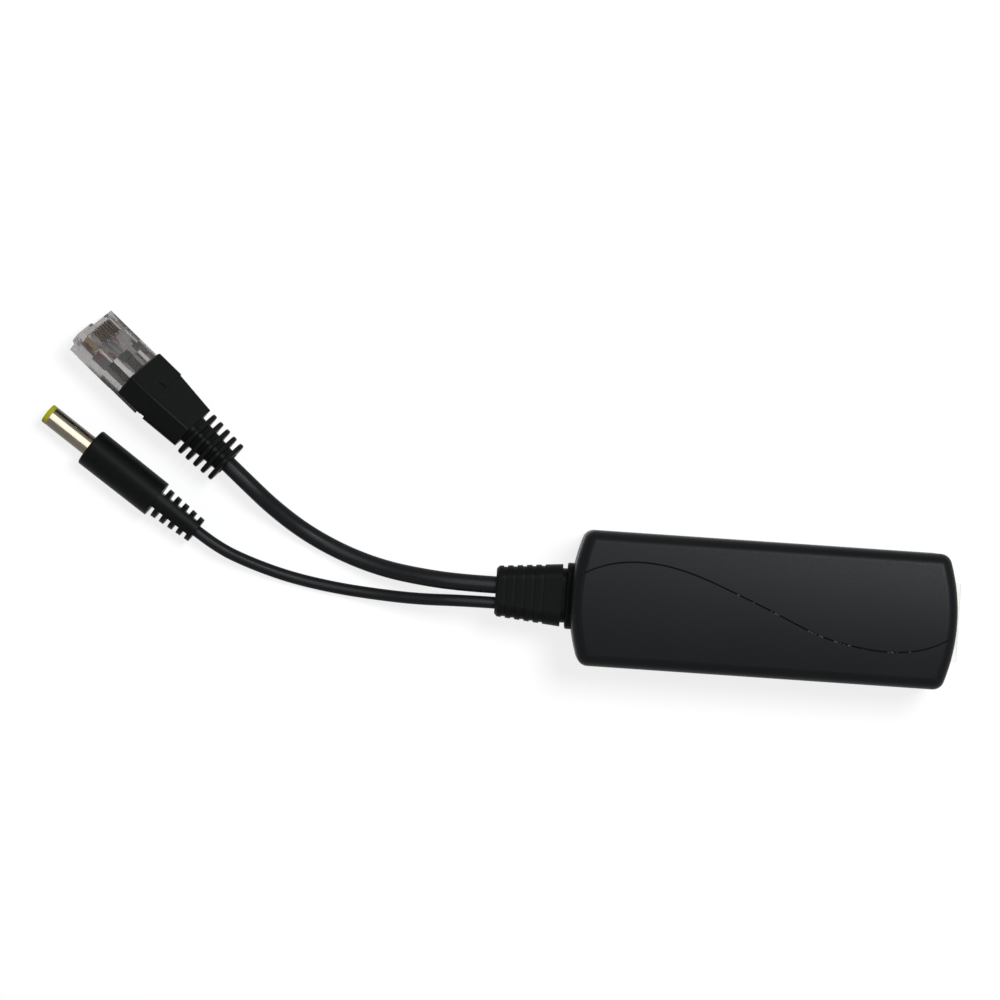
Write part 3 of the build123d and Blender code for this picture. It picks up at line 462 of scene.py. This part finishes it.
# The cores inside the housing lie side by side, so their colours change across it
innerCores = {
    # from and to across the housing, in mm
    "network_leads": {"from": -0.9, "to": 3.5, "colours": ["#b06a35", "#4f7d5c", "#44618f", "#7a5a3c"]},
    "dc_leads": {"from": -4.9, "to": -1.7, "colours": ["#151515", "#b22f2c"]},
}


def makeInnerCores(name):
    look = innerCores[name]
    material, tree, shader, place = startMaterial(name + "Insulation")
    shader.inputs["Roughness"].default_value = coreLook["rough"]
    axes = addNode(tree, "ShaderNodeSeparateXYZ", links={"Vector": (place, "Object")})
    across = addNode(tree, "ShaderNodeMapRange", links={"Value": (axes, "Y")},
                     values={"From Min": look["from"] * mm, "From Max": look["to"] * mm})
    pairs = addNode(tree, "ShaderNodeValToRGB", links={"Fac": (across, "Result")})
    ramp = pairs.color_ramp
    ramp.interpolation = "CONSTANT"
    ramp.elements[0].color = hexColour(look["colours"][0])
    ramp.elements[1].position = 1 / len(look["colours"])
    ramp.elements[1].color = hexColour(look["colours"][1])
    for index, colour in enumerate(look["colours"][2:], 2):
        ramp.elements.new(index / len(look["colours"])).color = hexColour(colour)
    tree.links.new(pairs.outputs["Color"], shader.inputs["Base Color"])
    return material


print("metal, clear and core finishes made")

# Every solid takes the finish of its material slot
finishOfSlot = {
    "housing": "sparkGrainedAbs",
    "socket": "mouldedThermoplastic",
    "gold_contact": "goldPlatedBronze",
    "board": "solderMask",
    "moulded_chip": "mouldedEpoxy",
    "ferrite": "sinteredFerrite",
    "winding": "polyesterTape",
    "can": "drawnAluminium",
    "soft_moulding": "mouldedPvc",
    "jacket": "extrudedPvc",
    "clear_plastic": "clearPolycarbonate",
    "nickel": "nickelPlatedBrass",
    "yellow_plastic": "yellowThermoplastic",
}
for row in frame["record"]["subparts"]:
    name, slot = row["node"], row["material_slot"]
    carried = nodes[name].data.materials
    carried.clear()
    if name in innerCores:
        carried.append(makeInnerCores(name))
    elif slot == "core_insulation":
        carried.append(coreFinishes[0])
    else:
        carried.append(finishes[finishOfSlot[slot]])
print("finishes set")

# The plug's own axes: along its nose, across its ways and out of its contact face
plugPlace = {
    "tail": (-121.9, 24.3, 7.05),  # where the lead goes in, in mm
    "heading": 139.6,
    "roll": 50.0,  # turns the contact face up towards the camera
}
plugFrame = (
    Matrix.Translation(Vector(plugPlace["tail"]) * mm)
    @ Matrix.Rotation(math.radians(plugPlace["heading"]), 4, "Z")
    @ Matrix.Rotation(math.radians(plugPlace["roll"]), 4, "X")
)
# stands an outline that is drawn flat up along the plug or the housing
upright = Matrix.Rotation(math.radians(90.0), 4, "X")

# Eight stamped blades in the plug, each with two points on its core
bladeLook = {
    "count": 8,
    "pitch": 1.02 * mm,
    "thickness": 0.34 * mm,
    "corner": 0.12 * mm,
    "cornerSteps": 3,
    "weld": 0.001 * mm,  # joins the blade's faces where they meet
    # along the plug and towards its contact face, in mm
    "outline": [
        (38.75, 0.3), (38.95, -0.03), (39.2, -0.03), (39.55, 0.55), (40.2, 0.55), (40.5, 0.25), (40.8, 0.55),
        (41.45, 0.55), (41.8, -0.03), (42.05, -0.03), (42.25, 0.3), (42.25, 2.8), (38.75, 2.8),
    ],
}
# Eight spring wires in the socket, folded back over its mouth
springLook = {
    "count": 8,
    "pitch": 1.02 * mm,
    "thickness": 0.42 * mm,
    "bend": 0.5 * mm,
    "bendSteps": 8,
    "sides": 12,  # of the wire
    # along the housing and up, in mm
    "outline": [(24.7, 4.8), (24.7, 16.05), (39.3, 16.05), (32.0, 13.45)],
}


# a Geometry Nodes group with its inputs, each named and typed
def startGroup(name, sizes):
    group = bpy.data.node_groups.new(name, "GeometryNodeTree")
    group.interface.new_socket("Outline", in_out="INPUT", socket_type="NodeSocketGeometry")
    for size, kind in sizes.items():
        group.interface.new_socket(size, in_out="INPUT", socket_type=kind)
    group.interface.new_socket("Pieces", in_out="OUTPUT", socket_type="NodeSocketGeometry")
    return group, addNode(group, "NodeGroupInput")


# repeats one piece across the ways, centred, and ends the group
def repeatAcross(group, given, piece):
    gaps = addNode(group, "ShaderNodeMath", settings={"operation": "SUBTRACT"},
                   values={1: 1.0}, links={0: (given, "Count")})
    span = addNode(group, "ShaderNodeMath", settings={"operation": "MULTIPLY"},
                   links={0: (gaps, "Value"), 1: (given, "Pitch")})
    start = addNode(group, "ShaderNodeMath", settings={"operation": "MULTIPLY"},
                    values={1: -0.5}, links={0: (span, "Value")})
    first = addNode(group, "ShaderNodeCombineXYZ", links={"Z": (start, "Value")})
    step = addNode(group, "ShaderNodeCombineXYZ", links={"Z": (given, "Pitch")})
    row = addNode(group, "GeometryNodeMeshLine", links={
        "Count": (given, "Count"), "Start Location": (first, "Vector"), "Offset": (step, "Vector"),
    })
    copies = addNode(group, "GeometryNodeInstanceOnPoints", links={"Points": (row, "Mesh"), "Instance": piece})
    real = addNode(group, "GeometryNodeRealizeInstances", links={"Geometry": (copies, "Instances")})
    finished = addNode(group, "GeometryNodeSetMaterial",
                       links={"Geometry": (real, "Geometry"), "Material": (given, "Finish")})
    addNode(group, "NodeGroupOutput", links={"Pieces": (finished, "Geometry")})


def makeBladeGroup():
    group, given = startGroup("bladeRow", {
        "Count": "NodeSocketInt", "Pitch": "NodeSocketFloat", "Thickness": "NodeSocketFloat",
        "Corner": "NodeSocketFloat", "Finish": "NodeSocketMaterial",
    })
    rounded = addNode(group, "GeometryNodeFilletCurve", settings={"mode": "POLY"},
                      values={"Count": bladeLook["cornerSteps"]},
                      links={"Curve": (given, "Outline"), "Radius": (given, "Corner")})
    face = addNode(group, "GeometryNodeFillCurve", settings={"mode": "NGONS"}, links={"Curve": (rounded, "Curve")})
    pulled = addNode(group, "GeometryNodeExtrudeMesh", settings={"mode": "FACES"}, values={"Individual": False},
                     links={"Mesh": (face, "Mesh"), "Offset Scale": (given, "Thickness")})
    back = addNode(group, "GeometryNodeFlipFaces", links={"Mesh": (face, "Mesh")})
    both = addNode(group, "GeometryNodeJoinGeometry", links={"Geometry": (pulled, "Mesh")})
    group.links.new(back.outputs["Mesh"], both.inputs["Geometry"])
    closed = addNode(group, "GeometryNodeMergeByDistance", values={"Distance": bladeLook["weld"]},
                     links={"Geometry": (both, "Geometry")})
    halfBack = addNode(group, "ShaderNodeMath", settings={"operation": "MULTIPLY"},
                       values={1: -0.5}, links={0: (given, "Thickness")})
    shift = addNode(group, "ShaderNodeCombineXYZ", links={"Z": (halfBack, "Value")})
    centred = addNode(group, "GeometryNodeTransform",
                      links={"Geometry": (closed, "Geometry"), "Translation": (shift, "Vector")})
    repeatAcross(group, given, (centred, "Geometry"))
    return group


def makeSpringGroup():
    group, given = startGroup("springRow", {
        "Count": "NodeSocketInt", "Pitch": "NodeSocketFloat", "Thickness": "NodeSocketFloat",
        "Bend": "NodeSocketFloat", "Finish": "NodeSocketMaterial",
    })
    bent = addNode(group, "GeometryNodeFilletCurve", settings={"mode": "POLY"},
                   values={"Count": springLook["bendSteps"]},
                   links={"Curve": (given, "Outline"), "Radius": (given, "Bend")})
    half = addNode(group, "ShaderNodeMath", settings={"operation": "MULTIPLY"},
                   values={1: 0.5}, links={0: (given, "Thickness")})
    ring = addNode(group, "GeometryNodeCurvePrimitiveCircle", values={"Resolution": springLook["sides"]},
                   links={"Radius": (half, "Value")})
    wire = addNode(group, "GeometryNodeCurveToMesh", values={"Fill Caps": True},
                   links={"Curve": (bent, "Curve"), "Profile Curve": (ring, "Curve")})
    smooth = addNode(group, "GeometryNodeSetShadeSmooth", links={"Geometry": (wire, "Mesh")})
    repeatAcross(group, given, (smooth, "Geometry"))
    return group


# draws the outline, runs the group on it and keeps the result as a plain mesh in its place
def makeRow(name, look, group, closed, sizes, place, replaced):
    drawn = bpy.data.curves.new(name + "Outline", "CURVE")
    drawn.dimensions = "3D"
    spline = drawn.splines.new("POLY")
    spline.points.add(len(look["outline"]) - 1)
    for point, (x, y) in zip(spline.points, look["outline"]):
        point.co = (x * mm, y * mm, 0, 1)
    spline.use_cyclic_u = closed
    source = bpy.data.objects.new(name + "Outline", drawn)
    bpy.context.scene.collection.objects.link(source)
    modifier = source.modifiers.new(group.name, "NODES")
    modifier.node_group = group
    given = {item.name: item.identifier for item in group.interface.items_tree if item.in_out == "INPUT"}
    for size, value in sizes.items():
        modifier[given[size]] = value
    seen = source.evaluated_get(bpy.context.evaluated_depsgraph_get())
    mesh = bpy.data.meshes.new_from_object(seen)
    bpy.data.objects.remove(source)
    mesh.name = name
    mesh.transform(place)
    piece = bpy.data.objects.new(name, mesh)
    bpy.context.scene.collection.objects.link(piece)
    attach(piece, "root")
    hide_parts(replaced)
    return piece


blades = makeRow("plug_blades", bladeLook, makeBladeGroup(), True, {
    "Count": bladeLook["count"], "Pitch": bladeLook["pitch"], "Thickness": bladeLook["thickness"],
    "Corner": bladeLook["corner"], "Finish": finishes["goldPlatedBronze"],
}, plugFrame @ upright, "plug_contacts")
springs = makeRow("socket_springs", springLook, makeSpringGroup(), False, {
    "Count": springLook["count"], "Pitch": springLook["pitch"], "Thickness": springLook["thickness"],
    "Bend": springLook["bend"], "Finish": finishes["goldPlatedBronze"],
}, upright, "socket_contacts")
print("blades", len(blades.data.polygons), "faces, springs", len(springs.data.polygons), "faces")

# The eight cores in the plug, fanned out from the jacket to a flat row under the blades
coreRow = {
    "diameter": 0.78 * mm,
    "pitch": 1.02,
    "rise": 0.42,  # the cores leave the jacket in two rows
    "drop": 0.45,
    "gathered": 0.5,  # share of the pitch where they leave the jacket, then where they fan out
    "fanned": 0.75,
    "roundness": 4,
    "order": 3,
    "steps": 6,
    "stations": (34.3, 34.9, 36.6, 38.3, 42.3),  # along the plug, in mm
}


def makeCoreRow():
    row = coreRow
    drawn = bpy.data.curves.new("plug_cores", "CURVE")
    drawn.dimensions = "3D"
    drawn.bevel_depth = row["diameter"] / 2
    drawn.bevel_resolution = row["roundness"]
    drawn.use_fill_caps = True
    ways = len(coreFinishes)
    for way, finish in enumerate(coreFinishes):
        drawn.materials.append(finish)
        across = (way - (ways - 1) / 2) * row["pitch"]
        rise = row["rise"] if way % 2 else -row["rise"]
        leave, straight, fan, level, end = row["stations"]
        route = [
            (leave, across * row["gathered"], rise), (straight, across * row["gathered"], rise),
            (fan, across * row["fanned"], (rise - row["drop"]) / 2),
            (level, across, -row["drop"]), (end, across, -row["drop"]),
        ]
        spline = drawn.splines.new("NURBS")
        spline.points.add(len(route) - 1)
        for point, place in zip(spline.points, route):
            point.co = (*(plugFrame @ (Vector(place) * mm)), 1)
        spline.order_u = row["order"]
        spline.use_endpoint_u = True
        spline.resolution_u = row["steps"]
        spline.material_index = way
    piece = bpy.data.objects.new("plug_cores", drawn)
    bpy.context.scene.collection.objects.link(piece)
    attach(piece, "root")
    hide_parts("plug_wires")


makeCoreRow()
print("cores of the plug laid")

# The leads, on the same route points as the solid tubes
networkLead = {
    "diameter": 3.9 * mm,
    "length": 70.2 * mm,
    "route": [
        (-59.8, 1.3, 11.5), (-67.6, 1.3, 11.5), (-76.2, 1.85, 8.8), (-85.4, 3.1, 4.9), (-94.6, 5.8, 2.1),
        (-103.6, 10.0, 2.3), (-111.1, 15.1, 4.8), (-116.874, 20.022, 7.05), (-121.9, 24.3, 7.05),
    ],
    "pieces": ["plug_boot", "plug_body", "plug_blades", "plug_cores", "network_cable_end"],
    "replaced": "network_cable",
}
dcLead = {
    "diameter": 2.7 * mm,
    "length": 72.2 * mm,
    "route": [
        (-59.8, -2.7, 11.5), (-67.0, -2.7, 11.5), (-77.0, -3.15, 7.4), (-87.0, -2.8, 3.3), (-96.5, -2.0, 1.45),
        (-106.5, -0.35, 1.55), (-115.6, 2.3, 3.0), (-123.255, 5.402, 4.6), (-128.2, 8.8, 4.6),
    ],
    "pieces": ["dc_plug_grip", "dc_plug_barrel", "dc_plug_tip", "dc_plug_inner_sleeve"],
    "replaced": "dc_cable",
}


# how smooth both leads are drawn
leadCurve = {
    "order": 3,
    "steps": 16,
    "roundness": 10,
}


def makeLead(name, lead):
    drawn = bpy.data.curves.new(name, "CURVE")
    drawn.dimensions = "3D"
    spline = drawn.splines.new("NURBS")
    spline.points.add(len(lead["route"]) - 1)
    for point, place in zip(spline.points, lead["route"]):
        point.co = (*(v * mm for v in place), 1)
    spline.order_u = leadCurve["order"]
    spline.use_endpoint_u = True
    spline.resolution_u = leadCurve["steps"]
    drawn.bevel_depth = lead["diameter"] / 2
    drawn.bevel_resolution = leadCurve["roundness"]
    drawn.use_fill_caps = True
    drawn.materials.append(finishes["extrudedPvc"])
    piece = bpy.data.objects.new(name, drawn)
    bpy.context.scene.collection.objects.link(piece)
    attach(piece, "root")
    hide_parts(lead["replaced"])


makeLead("network_lead", networkLead)
makeLead("dc_lead", dcLead)
print("leads laid")

# Floor and light
studio = {
    "floorSize": 6.0,
    "floorTint": "#848484",
    "floorRough": 0.9,
    "floorGlow": 0.8,  # brings the floor to white for the eye, while the object's shadow stays
    "worldLevel": 0.3,
}
lamps = {
    # just outside the picture to the upper right; gives the lid its slope of light
    "key": {
        "place": (0.22, 0.25, 0.86), "aim": (-0.04, 0.01, 0.0), "size": 0.34, "power": 7.0, "tint": "#fafcff",
    },
    # broad and overhead, linked to the barrel and the leads alone: a wide strip of light on the one, a soft
    # line on the others, while the flat black faces stay dark
    "softbox": {
        "place": (-0.24, 0.2, 0.98), "aim": (-0.15, 0.03, 0.0), "size": 1.2, "power": 27.0, "tint": "#fafcff",
        "only": ["dc_plug_barrel", "network_lead", "dc_lead"],
    },
}


# 1 for what the eye sees directly, in a reflection or through glass
def addSeen(tree):
    path = addNode(tree, "ShaderNodeLightPath")
    seen = addNode(tree, "ShaderNodeMath", settings={"operation": "ADD", "use_clamp": True},
                   links={0: (path, "Is Camera Ray"), 1: (path, "Is Transmission Ray")})
    return addNode(tree, "ShaderNodeMath", settings={"operation": "ADD", "use_clamp": True},
                   links={0: (seen, "Value"), 1: (path, "Is Glossy Ray")})


def makeStudio():
    look = studio
    world = bpy.data.worlds.new("studio")
    bpy.context.scene.world = world
    world.use_nodes = True
    tree = world.node_tree
    tree.nodes.clear()
    level = addNode(tree, "ShaderNodeMapRange", links={"Value": (addSeen(tree), "Value")},
                    values={"To Min": look["worldLevel"], "To Max": 1.0})
    sky = addNode(tree, "ShaderNodeBackground", links={"Strength": (level, "Result")},
                  values={"Color": (1, 1, 1, 1)})
    addNode(tree, "ShaderNodeOutputWorld", links={"Surface": (sky, "Background")})

    floorMesh = bpy.data.meshes.new("floor")
    half = look["floorSize"] / 2
    corners = [(-half, -half, 0), (half, -half, 0), (half, half, 0), (-half, half, 0)]
    floorMesh.from_pydata(corners, [], [(0, 1, 2, 3)])
    floor = bpy.data.objects.new("floor", floorMesh)
    bpy.context.scene.collection.objects.link(floor)
    material = bpy.data.materials.new("paleFloor")
    material.use_nodes = True
    tree = material.node_tree
    shader = tree.nodes["Principled BSDF"]
    shader.inputs["Base Color"].default_value = hexColour(look["floorTint"])
    shader.inputs["Roughness"].default_value = look["floorRough"]
    shader.inputs["Specular IOR Level"].default_value = 0.0
    shader.inputs["Emission Color"].default_value = (1, 1, 1, 1)
    glow = addNode(tree, "ShaderNodeMath", settings={"operation": "MULTIPLY"},
                   values={1: look["floorGlow"]}, links={0: (addSeen(tree), "Value")})
    tree.links.new(glow.outputs["Value"], shader.inputs["Emission Strength"])
    floorMesh.materials.append(material)


def addLamp(name):
    look = lamps[name]
    lampData = bpy.data.lights.new(name, "AREA")
    lampData.shape = "DISK"
    lampData.size = look["size"]
    lampData.energy = look["power"]
    lampData.color = hexColour(look["tint"])[:3]
    lamp = bpy.data.objects.new(name, lampData)
    lamp.location = look["place"]
    aim = Vector(look["aim"]) - lamp.location
    lamp.rotation_euler = aim.to_track_quat("-Z", "Y").to_euler()
    bpy.context.scene.collection.objects.link(lamp)
    if "only" in look:
        lit = bpy.data.collections.new(name + "Lit")
        for piece in look["only"]:
            lit.objects.link(bpy.data.objects[piece])
        lamp.light_linking.receiver_collection = lit


makeStudio()
for lampName in lamps:
    addLamp(lampName)
print("studio lit")
